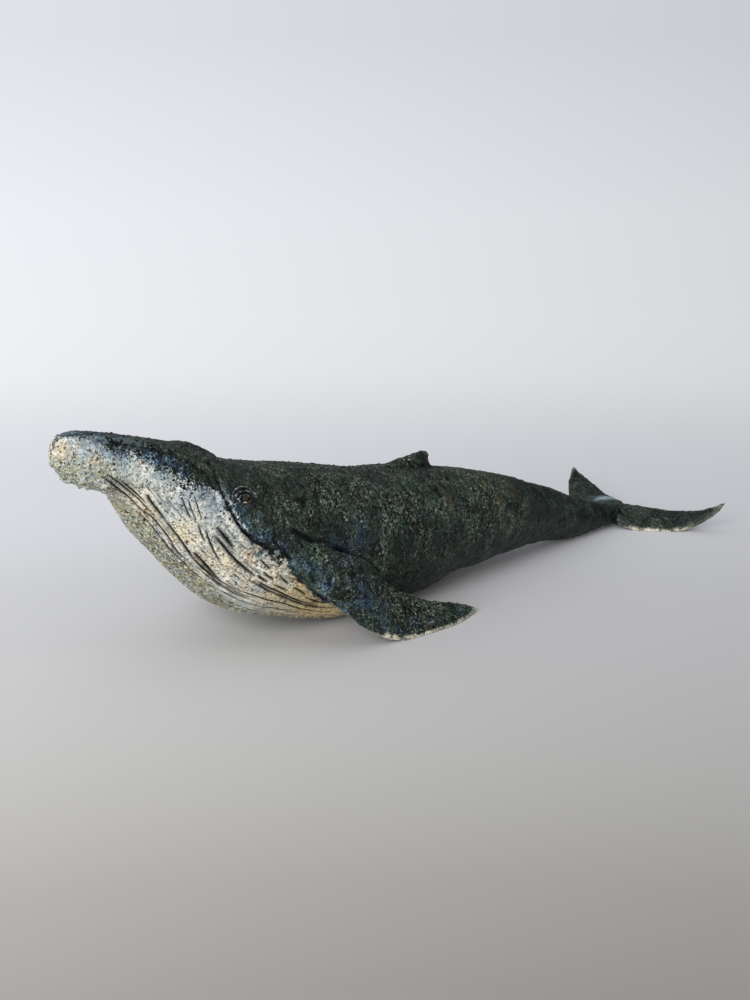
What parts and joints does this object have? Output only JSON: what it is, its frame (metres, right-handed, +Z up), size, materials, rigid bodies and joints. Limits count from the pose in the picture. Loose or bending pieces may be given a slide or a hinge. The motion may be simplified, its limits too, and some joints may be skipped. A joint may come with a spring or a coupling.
{
  "type": "ceramic whale figurine",
  "caption": "Free-standing hand-built stoneware figurine of a humpback whale with a lifted head, pleated throat, long flippers and low flukes, glazed dark above and pale below",
  "frame": {"origin": "on the shelf plane, under the centre of the figurine's bounding box; a few centimetres behind the middle of its pressed-flat foot", "axes": "+X from the snout to the tips of the flukes, -Y toward the whale's left side, +Z up from the shelf"},
  "size_m": [0.4368, 0.1252, 0.1182],
  "materials": {
    "dark_glaze": "satin speckled blue-green black",
    "snout_glaze": "satin speckled slate",
    "fin_glaze": "satin slate with blue pools and bare pale edges",
    "blue_glaze": "glossy cobalt blue pooled on slate",
    "pale_slip": "matte cream-grey slip with dark pores",
    "black_glaze": "glossy black"
  },
  "bodies": {
    "root": {"trunk_shell": "dark_glaze", "tail_stock": "dark_glaze", "upper_jaw": "snout_glaze", "throat_shell": "pale_slip", "blowhole_crest": "dark_glaze", "dorsal_fin": "dark_glaze", "left_flipper": "fin_glaze", "right_flipper": "fin_glaze", "left_fluke": "fin_glaze", "right_fluke": "fin_glaze", "left_eye": "black_glaze", "right_eye": "black_glaze", "left_eyelids": "dark_glaze", "right_eyelids": "dark_glaze", "left_lower_lip": "blue_glaze", "right_lower_lip": "blue_glaze", "snout_tubercles": "snout_glaze", "chin_tubercles": "pale_slip"}
  },
  "joints": []
}
